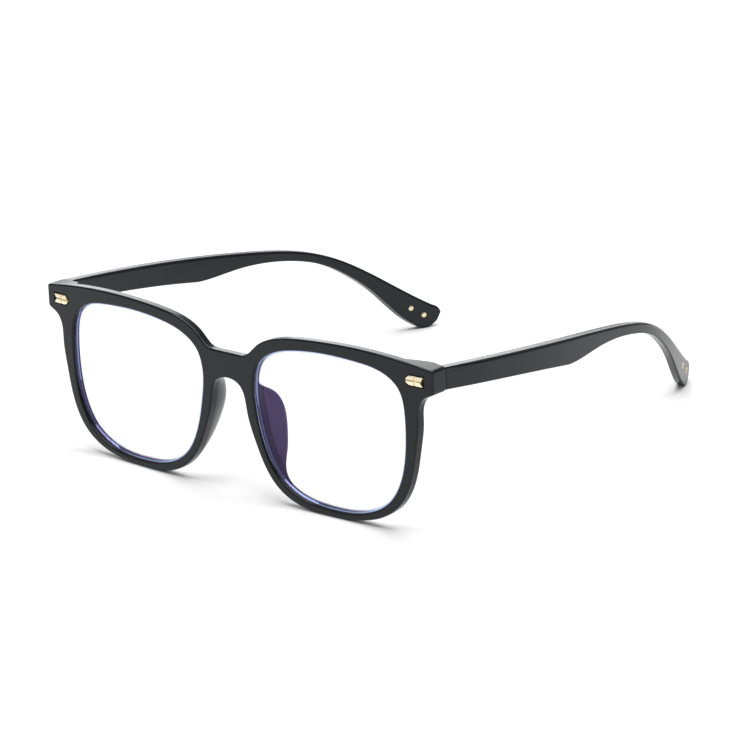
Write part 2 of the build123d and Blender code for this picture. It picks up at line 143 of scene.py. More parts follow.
# ---- Curves ----
def dense(points, closed=False, step=0.1):
    """A finely divided cubic spline through the points."""
    p = np.array(points, float)
    if closed:
        p = np.vstack([p, p[:1]])
    t = np.r_[0, np.cumsum(np.linalg.norm(np.diff(p, axis=0), axis=1))]
    h = np.diff(t)
    n = len(p)
    slope = np.diff(p, axis=0) / h[:, None]
    a = np.zeros((n, n))
    rhs = np.zeros((n, 2))
    # The unknowns are the second derivatives at the points.
    for i in range(1, n - 1):
        a[i, i - 1:i + 2] = h[i - 1], 2 * (h[i - 1] + h[i]), h[i]
        rhs[i] = 6 * (slope[i] - slope[i - 1])
    if closed:
        a[0, 0], a[0, 1], a[0, n - 2] = 2 * (h[0] + h[-1]), h[0], h[-1]
        rhs[0] = 6 * (slope[0] - slope[-1])
        a[-1, -1], a[-1, 0] = 1, -1
    elif n > 3:
        a[0, :3] = h[1], -(h[0] + h[1]), h[0]
        a[-1, -3:] = h[-1], -(h[-2] + h[-1]), h[-2]
    else:
        a[0, 0] = a[-1, -1] = 1
    m = np.linalg.solve(a, rhs)
    at = np.linspace(0, t[-1], int(t[-1] / step) + 2)
    k = np.clip(np.searchsorted(t, at, side="right") - 1, 0, n - 2)
    d = (at - t[k])[:, None]
    hk = h[k][:, None]
    first = slope[k] - hk * (2 * m[k] + m[k + 1]) / 6
    return p[k] + d * first + d**2 * m[k] / 2 + d**3 * (m[k + 1] - m[k]) / (6 * hk)


def chain(*curves):
    """Joins curves end to end, without repeating the shared points."""
    joined = [np.array(curves[0], float)]
    for curve in curves[1:]:
        joined.append(np.array(curve, float)[1:])
    return np.vstack(joined)


def lengths(curve):
    """Length along a curve at each of its points."""
    return np.r_[0, np.cumsum(np.linalg.norm(np.diff(curve, axis=0), axis=1))]


def along(curve, at):
    """Points at the given lengths along a curve."""
    s = lengths(curve)
    return np.stack([np.interp(at, s, curve[:, i]) for i in range(curve.shape[1])], -1)


def nearest(curve, point):
    """Length along a curve of its point nearest to the given one."""
    return lengths(curve)[np.linalg.norm(curve - np.array(point, float), axis=1).argmin()]


def softened(curve, width, step=0.05):
    """Rounds the corners of a curve over a given width, keeping its ends. The ends carry on straight."""
    total = lengths(curve)[-1]
    even = along(curve, np.linspace(0, total, int(total / step) + 1))
    reach = int(3 * width / step)
    weights = np.exp(-0.5 * (np.arange(-reach, reach + 1) * step / width) ** 2)
    weights /= weights.sum()
    before = 2 * even[0] - even[reach:0:-1]
    after = 2 * even[-1] - even[-2:-reach - 2:-1]
    padded = np.vstack([before, even, after])
    return np.stack([np.convolve(padded[:, i], weights, "valid") for i in range(2)], -1)


def inward(curve, at, left=True):
    """Unit normals at the given lengths, to the left or right of the curve's direction."""
    total = lengths(curve)[-1]
    reach = 0.12
    tangent = along(curve, np.clip(at + reach, 0, total)) - along(curve, np.clip(at - reach, 0, total))
    tangent /= np.linalg.norm(tangent, axis=1)[:, None]
    normal = np.stack([-tangent[:, 1], tangent[:, 0]], -1)
    return normal if left else -normal


def paired(first, second, keys, spacing, bend=3.0):
    """Lengths along two curves for a row of stations.

    Each key gives a point near the first curve and one near the second. Stations are closer together where
    the first curve turns.
    """
    s = lengths(first)
    tangent = np.gradient(first, axis=0)
    heading = np.unwrap(np.arctan2(tangent[:, 1], tangent[:, 0]))
    effort = np.r_[0, np.cumsum(np.diff(s) + bend * np.abs(np.diff(heading)))]
    marks = [(nearest(first, a), nearest(second, b)) for a, b in keys]
    if marks[-1][1] < marks[-2][1]:  # a closed curve ends where it starts
        marks[-1] = (marks[-1][0], lengths(second)[-1])
    one, two = [], []
    for (a0, b0), (a1, b1) in zip(marks, marks[1:]):
        e0, e1 = np.interp([a0, a1], s, effort)
        count = max(2, int(abs(e1 - e0) / spacing))
        part = np.arange(count) / count
        here = np.interp(e0 + (e1 - e0) * part, effort, s)
        one.append(here)
        share = (here - a0) / (a1 - a0)
        two.append(b0 + (b1 - b0) * share)
    one.append([marks[-1][0]])
    two.append([marks[-1][1]])
    return np.concatenate(one), np.concatenate(two)


def held(count, width):
    """Fractions across a flat face: even steps, and one more beside each end."""
    beside = min(HOLD / width, 0.4 / count)  # always short of the first even step
    return np.r_[beside, np.arange(1, count) / count, 1 - beside]


# ---- Meshes ----
MERGE_DISTANCE = 0.004
THINNEST_FACE = 0.002
MIRROR = np.array([-1, 1, 1])


def make_object(name, points, faces, material, body, sharp):
    """A piece that rides on a body. Edges that turn by more than the sharp angle, in degrees, stay crisp."""
    mesh = bpy.data.meshes.new(name)
    inside = np.clip(np.array(points) * MM, cad_box[0], cad_box[1])
    mesh.from_pydata([tuple(p) for p in inside], [], faces)
    mesh.update()
    obj = bpy.data.objects.new(name, mesh)
    bpy.context.scene.collection.objects.link(obj)
    tidy_mesh(obj, sharp)
    mesh.materials.append(material)
    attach(obj, body)
    return obj


def tidy_mesh(obj, sharp):
    """Merges coinciding points, drops faces with no area and turns every face outwards."""
    bm = bmesh.new()
    bm.from_mesh(obj.data)
    bmesh.ops.remove_doubles(bm, verts=bm.verts, dist=MERGE_DISTANCE * MM)
    bmesh.ops.dissolve_degenerate(bm, edges=bm.edges, dist=THINNEST_FACE * MM)
    bmesh.ops.recalc_face_normals(bm, faces=bm.faces)
    bm.to_mesh(obj.data)
    bm.free()
    obj.data.shade_smooth()
    obj.data.set_sharp_from_angle(angle=radians(sharp))


def loops_to_faces(rings, size, closed_rings=False):
    """Quads between consecutive rings of the same number of points."""
    faces = []
    for i in range(rings if closed_rings else rings - 1):
        here, there = i * size, ((i + 1) % rings) * size
        for j in range(size):
            k = (j + 1) % size
            faces.append((here + j, here + k, there + k, there + j))
    return faces


def end_caps(rings, size):
    """Faces that close the first and the last of the rings."""
    last = (rings - 1) * size
    return [tuple(reversed(range(size))), tuple(range(last, last + size))]


def on_side(side, points):
    """Points drawn for the left side, on the side that is asked for."""
    return points * MIRROR if side == "right" else points


def mirrored(points, faces):
    """The other half about the middle plane, joined on."""
    n = len(points)
    back = [tuple(n + i for i in reversed(face)) for face in faces]
    return np.vstack([points, points * MIRROR]), list(faces) + back


# ---- The front's own coordinates: across, up its face, and depth behind the middle of the face ----
def wrap(across):
    """How far the front's face lies behind its middle."""
    return WRAP_RADIUS - np.sqrt(WRAP_RADIUS**2 - np.asarray(across, float) ** 2)


def front_to_space(across, up, depth):
    """From the front's own coordinates to the frame's."""
    y = FRONT_Y + depth * cos(TILT) + up * sin(TILT)
    z = RIM_BASE_Z - depth * sin(TILT) + up * cos(TILT)
    return np.stack([across, y, z], -1)


def seam_depth(up):
    """Depth of the seam plane at a height up the front's face."""
    z = RIM_BASE_Z + up
    y = SEAM_Y + (z - HINGE_Z) * tan(HINGE_LEAN)
    return y - FRONT_Y - up * sin(TILT)


def face_depth(across, up):
    """Depth of the front's face, which is the same at every height."""
    return wrap(across)


def rim_depth(across, up):
    """Depth of the rim's back, which is the same at every height."""
    return wrap(across) + RIM_DEPTH


def block_depth(across, up):
    """Depth of the end block's back, which slopes from the rim to the seam."""
    root = float(wrap(BLOCK_ROOT)) + RIM_DEPTH
    places, depths = [BLOCK_ROOT, BLOCK_INNER, HALF_FRONT], [root, BLOCK_INNER_BACK, BLOCK_BACK]
    ramp = np.interp(across, places, depths, left=0)
    return np.maximum(rim_depth(across, up), np.minimum(ramp, seam_depth(up)))


def lens_depth(across, up):
    """Depth of the lens's front surface."""
    turn = asin(LENS_CENTRE[0] / WRAP_RADIUS)
    x = across - LENS_CENTRE[0]
    z = up - LENS_CENTRE[1]
    flat = float(wrap(LENS_CENTRE[0])) - LENS_FORWARD + x * tan(turn)
    return flat + LENS_RADIUS - np.sqrt(LENS_RADIUS**2 - x**2 - z**2)


def pad_reach(up):
    """How far a nose pad stands out behind the rim at a height."""
    curve = dense(PAD_STATIONS)
    order = curve[:, 0].argsort()
    return np.maximum(np.interp(up, curve[order, 0], curve[order, 1]), 0)


# The opening is drawn anticlockwise from the top. Turned round, it runs clockwise, as the outline below does.
opening = dense(OPENING_EDGE, closed=True)[::-1]
rim_outline = chain(
    dense(BRIDGE_ARCH), dense(RIM_EDGE), [RIM_EDGE[-1], (HALF_FRONT, BLOCK_BOTTOM)],
    [(HALF_FRONT, BLOCK_BOTTOM), (HALF_FRONT, BLOCK_TOP)], dense(BROW_EDGE),
    [(BRIDGE_HALF, BRIDGE_TOP), (0, BRIDGE_TOP)],
)
rim_outline = softened(rim_outline[::-1], SMOOTHING)
quarter = np.linspace(0, pi / 2, ROUND_STEPS + 1)

# Places that the stations and the blends between surfaces start from, as (across, up)
OPENING_START = (9.5, 33.6)
BLOCK_UNDERSIDE = (70.1, 40.0)
BLOCK_BROW = (62, 49.2)
STATION_KEYS = [  # each a point of the outline and the point of the opening across the rim from it
    ((0, BRIDGE_TOP), (10.7, 38.6)), ((BRIDGE_HALF, BRIDGE_TOP), (12.2, 40.8)), ((16, 47.3), (18.5, 44.3)),
    ((33, 49.8), (33.5, 46.5)), (BLOCK_BROW, (57, 44)), ((71.6, 48), (59.9, 42.2)),
    ((HALF_FRONT, 46.9), (60.3, 41.7)), ((HALF_FRONT, 42), (60.9, 40.7)), (BLOCK_UNDERSIDE, (61.1, 40.0)),
    ((66.3, 24.5), (62.8, 25)), ((60.2, 7.6), (57.5, 8.9)), ((35, 0), (35, 2)),
    ((13.3, 9.1), (15.6, 10.4)), ((6.9, 24.4), (10.4, 25)), ((4.7, 31.8), (9.5, 31.8)),
    ((0, BRIDGE_UNDERSIDE), OPENING_START),
]
STATION_SPACING = 0.8
BRIDGE_STATIONS = 8  # steps along the middle plane
FACE_STEPS, BACK_STEPS = 6, 22  # across a rim's front and back
BLEND_STATIONS = 4  # the back's rounding changes over about this many stations
PAD_SIDE = 22  # the pads lie nearer the middle than this
PAD_FULLNESS = 2.5  # 2 makes the pad's section an ellipse, and more makes it boxier
PAD_SPLAY = 0.37  # how far a pad leans outwards for each millimetre that it stands out
PAD_TWIST = 0.3  # and how much more it leans at the opening than at the outline


def turned_opening():
    """The opening's edge, clockwise from beside the bridge's underside, so that lengths only grow."""
    start = np.linalg.norm(opening - np.array(OPENING_START), axis=1).argmin()
    return np.vstack([opening[start:-1], opening[:start + 1]])


def front_stations():
    """Each station's points on the outline and the opening, with normals that point into the rim."""
    inner = turned_opening()
    a, b = paired(rim_outline, inner, STATION_KEYS, STATION_SPACING)
    outer_points, inner_points = along(rim_outline, a), along(inner, b)
    outer_normals, inner_normals = inward(rim_outline, a, left=False), inward(inner, b, left=True)
    return outer_points, inner_points, outer_normals, inner_normals


def middle_stations(outer, inner):
    """Stations along the middle plane, from the bridge's underside up to its top."""
    part = np.arange(1, BRIDGE_STATIONS)[:, None] / BRIDGE_STATIONS
    inset = np.array([0, ROUND])
    outer_middle = (outer[-1] + inset) * (1 - part) + (outer[0] - inset) * part
    ring = turned_opening()
    at = nearest(ring, inner[0]) * part[:, 0]
    outer_in = np.tile([1.0, 0.0], (BRIDGE_STATIONS - 1, 1))
    return outer_middle, along(ring, at), outer_in, inward(ring, at, left=True)


def back_rounding(outer_in, block_share):
    """Rounding of the back's outer edge at each station: wider along the top, and fine towards the seam."""
    over = outer_in[:, 1] < -0.5  # along the top, where the outline's inward normal points down
    rounds = np.where(over, BROW_BACK_ROUND, ROUND)
    reach = 3 * BLEND_STATIONS
    near = np.exp(-0.5 * (np.arange(-reach, reach + 1) / BLEND_STATIONS) ** 2)
    rounds = np.convolve(np.pad(rounds, reach, mode="edge"), near / near.sum(), "valid")
    return rounds + (SEAM_ROUND - rounds) * block_share


def quarter_round(edge, normal, size, surface, sign, angles):
    """Points of the rounded edge between a wall and a surface. The sign is 1 in front and -1 at the back."""
    points = []
    for angle in angles:
        x, up = edge + normal * size * (1 - cos(angle))
        points.append((x, up, float(surface(x, up)) + sign * size * (1 - sin(angle))))
    return points


def across_surface(start, end, parts, surface):
    """Points of a surface at the given parts of the way between two places."""
    places = [start + (end - start) * part for part in parts]
    return [(x, up, float(surface(x, up))) for x, up in places]


def front_contour(outer, inner, outer_in, inner_out, out_round, back_round, back_depth, pad, pad_in):
    """A closed contour round the rim's section, as (across, up, depth).

    It runs over the front face, through the opening with its lens groove, and over the back with the nose
    pad. The pad stands out by the two given amounts at the outline and at the opening.
    """
    # Front face
    face_out, face_in = outer + outer_in * out_round, inner + inner_out * ROUND
    width = np.linalg.norm(face_in - face_out)
    contour = [(*outer, float(wrap(outer[0])) + out_round + HOLD)]
    contour += quarter_round(outer, outer_in, out_round, face_depth, 1, quarter)
    contour += across_surface(face_out, face_in, held(FACE_STEPS, width), face_depth)
    contour += quarter_round(inner, inner_out, ROUND, face_depth, 1, quarter[::-1])
    # Lens groove
    groove_front = float(lens_depth(*inner)) - LENS_PLAY
    groove_back = groove_front + LENS_THICKNESS + 2 * LENS_PLAY
    seat = inner + inner_out * (LENS_SEAT + LENS_PLAY)
    contour += [(*inner, groove_front), (*seat, groove_front), (*seat, groove_back), (*inner, groove_back)]
    # Back
    parts = held(BACK_STEPS, width)
    if pad > 0 or pad_in > 0:  # a pad's section needs its points close together at both ends
        parts = (1 - np.cos(pi * np.arange(1, BACK_STEPS + 2) / (BACK_STEPS + 2))) / 2
    back = quarter_round(inner, inner_out, ROUND, rim_depth, -1, quarter)
    back += across_surface(face_in, outer + outer_in * back_round, parts, back_depth)
    back += quarter_round(outer, outer_in, back_round, back_depth, -1, quarter[::-1])
    x, up, depth = back[-1]
    back = np.array(back + [(x, up, depth - HOLD)])
    # Nose pad
    share = np.linalg.norm(back[:, :2] - outer, axis=1) / np.linalg.norm(outer - inner)
    rise = np.sqrt(np.maximum(1 - np.abs(2 * share - 1) ** PAD_FULLNESS, 0))
    grow = (pad + (pad_in - pad) * share) * rise
    back[:, 2] += grow
    back[:, 0] += grow * (PAD_SPLAY + PAD_TWIST * (share - 0.5))
    return np.vstack([contour, back])


def front_half():
    """Points and faces of the front's left half."""
    rim = front_stations()
    count = len(rim[0])
    stations = zip(rim, middle_stations(rim[0], rim[1]))
    outer, inner, outer_in, inner_out = [np.vstack(both) for both in stations]
    outer_in[0], outer_in[count - 1] = (0, -1), (0, 1)
    at = np.arange(len(outer))
    on_middle = at >= count
    brow = np.linalg.norm(outer - np.array(BLOCK_BROW), axis=1).argmin()
    underside = np.linalg.norm(outer - np.array(BLOCK_UNDERSIDE), axis=1).argmin()
    on_block = (at >= brow) & (at < underside)
    block_share = np.clip((outer[:, 0] - BLOCK_ROOT) / (BLOCK_INNER - BLOCK_ROOT), 0, 1) * on_block
    by_nose = (outer[:, 0] < PAD_SIDE) & (outer[:, 1] < BRIDGE_UNDERSIDE) & ~on_middle
    pad = np.where(by_nose, pad_reach(outer[:, 1]), 0)
    pad_in = np.where(by_nose, pad_reach(inner[:, 1]), 0)
    # The stations on the middle plane join the other half, so nothing is rounded there.
    out_round = np.where(on_middle, 0.0, ROUND)
    back_round = np.where(on_middle, 0.0, back_rounding(outer_in, block_share))
    rows = []
    for i in at:
        back_depth = block_depth if on_block[i] else rim_depth
        edges = outer[i], inner[i], outer_in[i], inner_out[i]
        rows.append(front_contour(*edges, out_round[i], back_round[i], back_depth, pad[i], pad_in[i]))
    rings, size = len(rows), len(rows[0])
    flat = np.concatenate(rows)
    points = front_to_space(flat[:, 0], flat[:, 1], flat[:, 2])
    faces = loops_to_faces(rings, size, closed_rings=True)
    # Faces that lie in the middle plane would part the two halves.
    faces = [f for f in faces if max(abs(points[i][0]) for i in f) > 1e-6]
    return points, faces


def build_front(material):
    points, faces = front_half()
    points, faces = mirrored(points, faces)
    obj = make_object("front_moulding", points, faces, material, "front", PLASTIC_SHARP)
    cut_ornament_recess(obj)
    cut_knuckle_room(obj)
    obj.data.shade_smooth()
    obj.data.set_sharp_from_angle(angle=radians(PLASTIC_SHARP))
    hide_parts("front_frame")


# ---- Lenses ----
LENS_STATIONS = 160  # points round the edge
# Rings of points lie at shares of the way from the lens's centre to the opening's edge, and then at distances
# beyond that edge.
LENS_SHARES = (0.02, 0.25, 0.5, 0.7, 0.85, 0.94)
LENS_BEYONDS = (-0.75, -0.5, -0.3, 0.0, 0.3)
LENS_BEVEL = 0.5
LENS_SIDE_PLAY = 0.02
# Painted reflection: in a band round its edge the lens is tinted periwinkle and made far more opaque. This
# stands in for the bright line at the bevel.
EDGE_REFLECTION_REACH = 0.5  # the painted edge reflection begins this far inside the opening's edge
EDGE_REFLECTION_FADE = 0.2


def build_lens(side, material):
    """A meniscus with a bevelled edge that sits in the rim's groove."""
    edge = dense(OPENING_EDGE, closed=True)
    at = np.linspace(0, lengths(edge)[-1], LENS_STATIONS + 1)[:-1]
    rim = along(edge, at)
    outwards = -inward(edge, at, left=True)
    outwards[0] = outwards[-1] = (0, 1)
    centre = np.array(LENS_CENTRE)
    # Each ring is a row of points and how far the surface drops there from its curve.
    rings = [(centre + (rim - centre) * share, 0.0) for share in LENS_SHARES]
    rings += [(rim + outwards * beyond, 0.0) for beyond in LENS_BEYONDS]
    rings.append((rim + outwards * (LENS_SEAT - LENS_SIDE_PLAY), LENS_BEVEL))
    front = [(p, lens_depth(p[:, 0], p[:, 1]) + drop) for p, drop in rings]
    rear = [(p, lens_depth(p[:, 0], p[:, 1]) + LENS_THICKNESS - drop) for p, drop in rings[::-1]]
    stack = front + rear
    rows = np.array([np.column_stack([p, d]) for p, d in stack]).reshape(-1, 3)
    points = front_to_space(rows[:, 0], rows[:, 1], rows[:, 2])
    size = len(rim)
    faces = loops_to_faces(len(stack), size) + end_caps(len(stack), size)
    points = on_side(side, points)
    obj = make_object(f"{side}_lens_glazing", points, faces, material, "front", sharp=50)
    # The material reads this attribute to paint a reflection round the edge: 1 at the lens's edge and 0 over
    # the rest of it.
    band = obj.data.attributes.new("near_edge", "FLOAT", "POINT")
    values = []
    for v in obj.data.vertices:
        up = (v.co.z / MM - RIM_BASE_Z) / cos(TILT)
        gap = np.linalg.norm(rim - np.array([abs(v.co.x) / MM, up]), axis=1).min()
        values.append(float(np.clip((EDGE_REFLECTION_REACH - gap) / EDGE_REFLECTION_FADE, 0, 1)))
    band.data.foreach_set("value", values)
    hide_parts(f"{side}_lens")


# ---- Temples ----
TEMPLE_KEYS = [  # each a point of the upper edge and the point of the lower edge across the temple from it
    ((8.7, 47.7), (9.3, 41)), ((60, 41), (59, 33.6)), ((88, 36.4), (86, 32.8)), ((103, 32.9), (100, 30.5)),
    ((115, 28), (109.5, 27.2)), ((127, 20.3), (119.5, 21)), ((136, 13.5), (129, 11.8)),
    ((143.5, 8), (138, 2)), ((146.3, 6), (143.6, 0.4)),
]
TEMPLE_SPACING = 1.1
TEMPLE_STEPS = 8  # across a temple's side
TOP_ROUND_START, TOP_ROUND_GROWTH = 10, 12  # the top's wider rounding begins here and grows over this length
TOP_ROUND_END = 5  # stations before the tip's end where it begins to shrink again
FLUSH_LENGTH = 9  # the outer side leaves the end block's plane over about this length
outer_edge = dense(TEMPLE_OUTER)
inner_edge = dense(TEMPLE_INNER)


def plan_at(curve, back):
    """How far across a temple's side lies at a distance back."""
    return np.interp(back, curve[:, 0], curve[:, 1])


def seam_back(up):
    """How far back the temple's seam end lies at a height. It stands parallel to the hinge's leaning axis."""
    return SEAM_Y - FRONT_Y + SEAM_GAP + (up - HINGE_Z) * tan(HINGE_LEAN)


def temple_edges():
    """Upper and lower edges of a temple from the seam to the end of its tip, as (back, up) curves."""
    tip = dense(TIP_END)
    far = tip[:, 0].argmax()
    low = chain(dense(TEMPLE_KEEL), dense(TEMPLE_BOTTOM), tip[:far + 1])
    high = chain(dense(TEMPLE_TOP), tip[far:][::-1])
    return softened(low, TEMPLE_SMOOTHING), softened(high, TEMPLE_SMOOTHING)


def temple_rows():
    """Closed contours round a temple's section, from the seam to the end of its tip."""
    low, high = temple_edges()
    low[-1] = high[-1] = (low[-1] + high[-1]) / 2
    a, b = paired(high, low, TEMPLE_KEYS + [(tuple(high[-1]), tuple(low[-1]))], TEMPLE_SPACING)
    top, bottom = along(high, a), along(low, b)
    top_in, bottom_in = inward(high, a, left=False), inward(low, b, left=True)
    top_in[-1] = bottom_in[-1] = (-1, 0)
    for edge, curve in ((top, high), (bottom, low)):
        edge[0] = curve[np.abs(curve[:, 0] - seam_back(curve[:, 1])).argmin()]
    seam_place = (top[0][0] + bottom[0][0]) / 2
    seam_step = plan_at(outer_edge, seam_place) - HALF_FRONT
    rows = []
    for i in range(len(top)):
        contour = []
        # The top's wider rounding starts behind the seam and ends where both edges meet at the tip's end.
        ease = np.clip((top[i][0] - TOP_ROUND_START) / TOP_ROUND_GROWTH, 0, 1)
        ease *= np.clip((len(top) - 1 - i) / TOP_ROUND_END, 0, 1)
        top_round = ROUND + (TEMPLE_TOP_ROUND - ROUND) * ease

        def put(point, inset, outer):
            x = plan_at(outer_edge if outer else inner_edge, point[0])
            if outer:  # the outer side comes flush with the end block at the seam
                x -= seam_step * exp(-((point[0] - seam_place) / FLUSH_LENGTH) ** 2)
            contour.append((x - inset if outer else x + inset, FRONT_Y + point[0], point[1]))

        for outer in (True, False):
            chains = [(top[i], top_in[i], top_round), (bottom[i], bottom_in[i], ROUND)]
            if not outer:
                chains = chains[::-1]
            (p0, n0, r0), (p1, n1, r1) = chains
            put(p0, r0 + HOLD, outer)
            for angle in quarter:
                put(p0 + n0 * r0 * (1 - cos(angle)), r0 * (1 - sin(angle)), outer)
            for part in held(TEMPLE_STEPS, np.linalg.norm(p1 - p0)):
                put((p0 + n0 * r0) * (1 - part) + (p1 + n1 * r1) * part, 0.0, outer)
            for angle in quarter[::-1]:
                put(p1 + n1 * r1 * (1 - cos(angle)), r1 * (1 - sin(angle)), outer)
            put(p1, r1 + HOLD, outer)
        rows.append(contour)
    return np.array(rows)


def build_temple(side, material):
    rows = temple_rows()
    # The first station is moved to the seam end, which lies in its own plane with a small bevel round it.
    first = rows[0].copy()
    first[:, 1] = FRONT_Y + seam_back(first[:, 2]) + SEAM_ROUND
    middle = first.mean(0)
    cap = first.copy()
    cap[:, 1] -= SEAM_ROUND
    shrink = cap - middle
    size = np.linalg.norm(shrink[:, [0, 2]], axis=1)[:, None]
    cap[:, [0, 2]] -= shrink[:, [0, 2]] / size * SEAM_ROUND
    inner_cap = middle + (cap - middle) * 0.5
    inner_cap[:, 1] = FRONT_Y + seam_back(inner_cap[:, 2])
    stack = np.concatenate([[inner_cap, cap, first], rows[1:]])
    rings, count = stack.shape[:2]
    # The tip's last contour has no width, so only the seam end needs a cap.
    faces = loops_to_faces(rings, count) + end_caps(rings, count)[:1]
    points = on_side(side, stack.reshape(-1, 3))
    name, body = f"{side}_temple_moulding", f"{side}_temple"
    obj = make_object(name, points, faces, material, body, PLASTIC_SHARP)
    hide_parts(f"{side}_temple")


# ---- Tip rivets ----
# Profiles of a pin's two ends, as (radius, height above the tip's face). The inner end is a dome and the
# outer one is hollow.
DOMED_END = [
    (0.0, 0.095), (0.3, 0.092), (0.55, 0.075), (0.7, 0.045), (0.78, 0.0), (0.84, -0.03), (0.86, -0.1),
]
HOLLOW_END = [
    (0.0, -0.9), (0.34, -0.9), (0.46, -0.8), (0.48, 0.0), (0.55, 0.08), (0.7, 0.095), (RIVET_RADIUS, 0.02),
]
RIVET_SIDES = 40
SMALLEST_RADIUS = 0.01  # of the profiles' first rings, which the end caps close


def build_rivet(side, name, place, material):
    """A pin right through the tip, square to its outer face."""
    back, up = place
    outer_x, inner_x = plan_at(outer_edge, back), plan_at(inner_edge, back)
    step = 1
    lead = plan_at(outer_edge, back - step) - plan_at(outer_edge, back + step)
    through = Vector((2 * step, lead, 0)).normalized()
    gap = (outer_x - inner_x) * through.x
    middle = Vector(((outer_x + inner_x) / 2, FRONT_Y + back, up))
    x_dir = Vector((0, 0, 1))
    y_dir = through.cross(x_dir)
    stack = []
    for sign, profile in ((1, HOLLOW_END), (-1, DOMED_END[::-1])):
        for radius, proud in profile:
            for j in range(RIVET_SIDES):
                turn = 2 * pi * j / RIVET_SIDES
                p = middle + through * sign * (gap / 2 + proud)
                p = p + (x_dir * cos(turn) + y_dir * sin(turn)) * max(radius, SMALLEST_RADIUS)
                stack.append(tuple(p))
    points = on_side(side, np.array(stack))
    rings = len(HOLLOW_END) + len(DOMED_END)
    faces = loops_to_faces(rings, RIVET_SIDES) + end_caps(rings, RIVET_SIDES)
    body = f"{side}_temple"
    obj = make_object(f"{side}_{name}_pin", points, faces, material, body, sharp=30)
    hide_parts(f"{side}_{name}")


# ---- End-piece ornaments ----
ORNAMENT_GROOVE = 0.16  # half the width of the grooves between the facets
ORNAMENT_BEVEL = 0.2  # each facet's flat is set in by this much at its corners
ORNAMENT_SLOPE = 0.13  # the facets fall by this much towards the ornament's long edges
ORNAMENT_EDGE = 0.16  # height of the bevel
GROOVE_FLOOR = -0.1
PLATE_INSET = 0.05
# The outline narrows at the nose end from its full height, past a corner, to a point on the middle line.
NOSE_TAPER = 1.1
NOSE_CORNER = 0.35
NOSE_CORNER_HEIGHT = 0.6  # share of half the height


def ornament_to_space(local):
    """From an ornament's own (across, up, forward) to the left ornament's place on the front."""
    turn = asin(ORNAMENT_PLACE[0] / WRAP_RADIUS)
    across = ORNAMENT_PLACE[0] + local[:, 0] * cos(turn) + local[:, 2] * sin(turn)
    depth = float(wrap(ORNAMENT_PLACE[0])) + local[:, 0] * sin(turn) - local[:, 2] * cos(turn)
    return front_to_space(across, ORNAMENT_PLACE[1] + local[:, 1], depth)


def recess_outline(room):
    """An ornament's outline without its notch, larger all round by the room asked for."""
    half, high = ORNAMENT_LENGTH / 2, ORNAMENT_HEIGHT / 2
    corner, taper = 0.3, 1.0
    upper = [
        (-half + corner - room, high * NOSE_CORNER_HEIGHT), (-half + taper, high + room),
        (half + room, high + room),
    ]
    return [(-half - room, 0)] + upper + [(x, -y) for x, y in reversed(upper)]


def carve(front, points, size):
    """Cuts a prism out of the front on both sides. Its points are two outlines, one above the other."""
    faces = loops_to_faces(2, size) + end_caps(2, size)
    for side in ("left", "right"):
        mesh = bpy.data.meshes.new("recess_tool")
        mesh.from_pydata([tuple(p) for p in on_side(side, points) * MM], [], faces)
        tool = bpy.data.objects.new("recess_tool", mesh)
        bpy.context.scene.collection.objects.link(tool)
        tidy_mesh(tool, 30)
        change = front.modifiers.new("recess", "BOOLEAN")
        change.operation = "DIFFERENCE"
        change.solver = "EXACT"
        change.object = tool
        bpy.context.view_layer.update()
        result = front.evaluated_get(bpy.context.evaluated_depsgraph_get())
        cut = bpy.data.meshes.new_from_object(result)
        front.modifiers.remove(change)
        front.data = cut
        bpy.data.objects.remove(tool)


def cut_ornament_recess(front):
    """Sinks a recess for each ornament into the front's face."""
    outline = recess_outline(ORNAMENT_ROOM)
    above_face = 1.0
    local = np.array([(x, y, z) for z in (-ORNAMENT_SEAT, above_face) for x, y in outline])
    carve(front, ornament_to_space(local), len(outline))


def cut_knuckle_room(front):
    """Hollows the end blocks' backs round the hinge knuckles."""
    sides = 48
    end_play = 0.3
    half = KNUCKLE_STACK / 2 + end_play
    axis = np.array([0, sin(HINGE_LEAN), cos(HINGE_LEAN)])
    back = np.array([0, cos(HINGE_LEAN), -sin(HINGE_LEAN)])
    middle = np.array([HINGE_X, HINGE_Y, HINGE_Z])
    turns = [2 * pi * j / sides for j in range(sides)]
    ring = [KNUCKLE_ROOM * (cos(a) * np.array([1, 0, 0]) + sin(a) * back) for a in turns]
    points = [middle + level * axis + r for level in (-half, half) for r in ring]
    carve(front, np.array(points), sides)


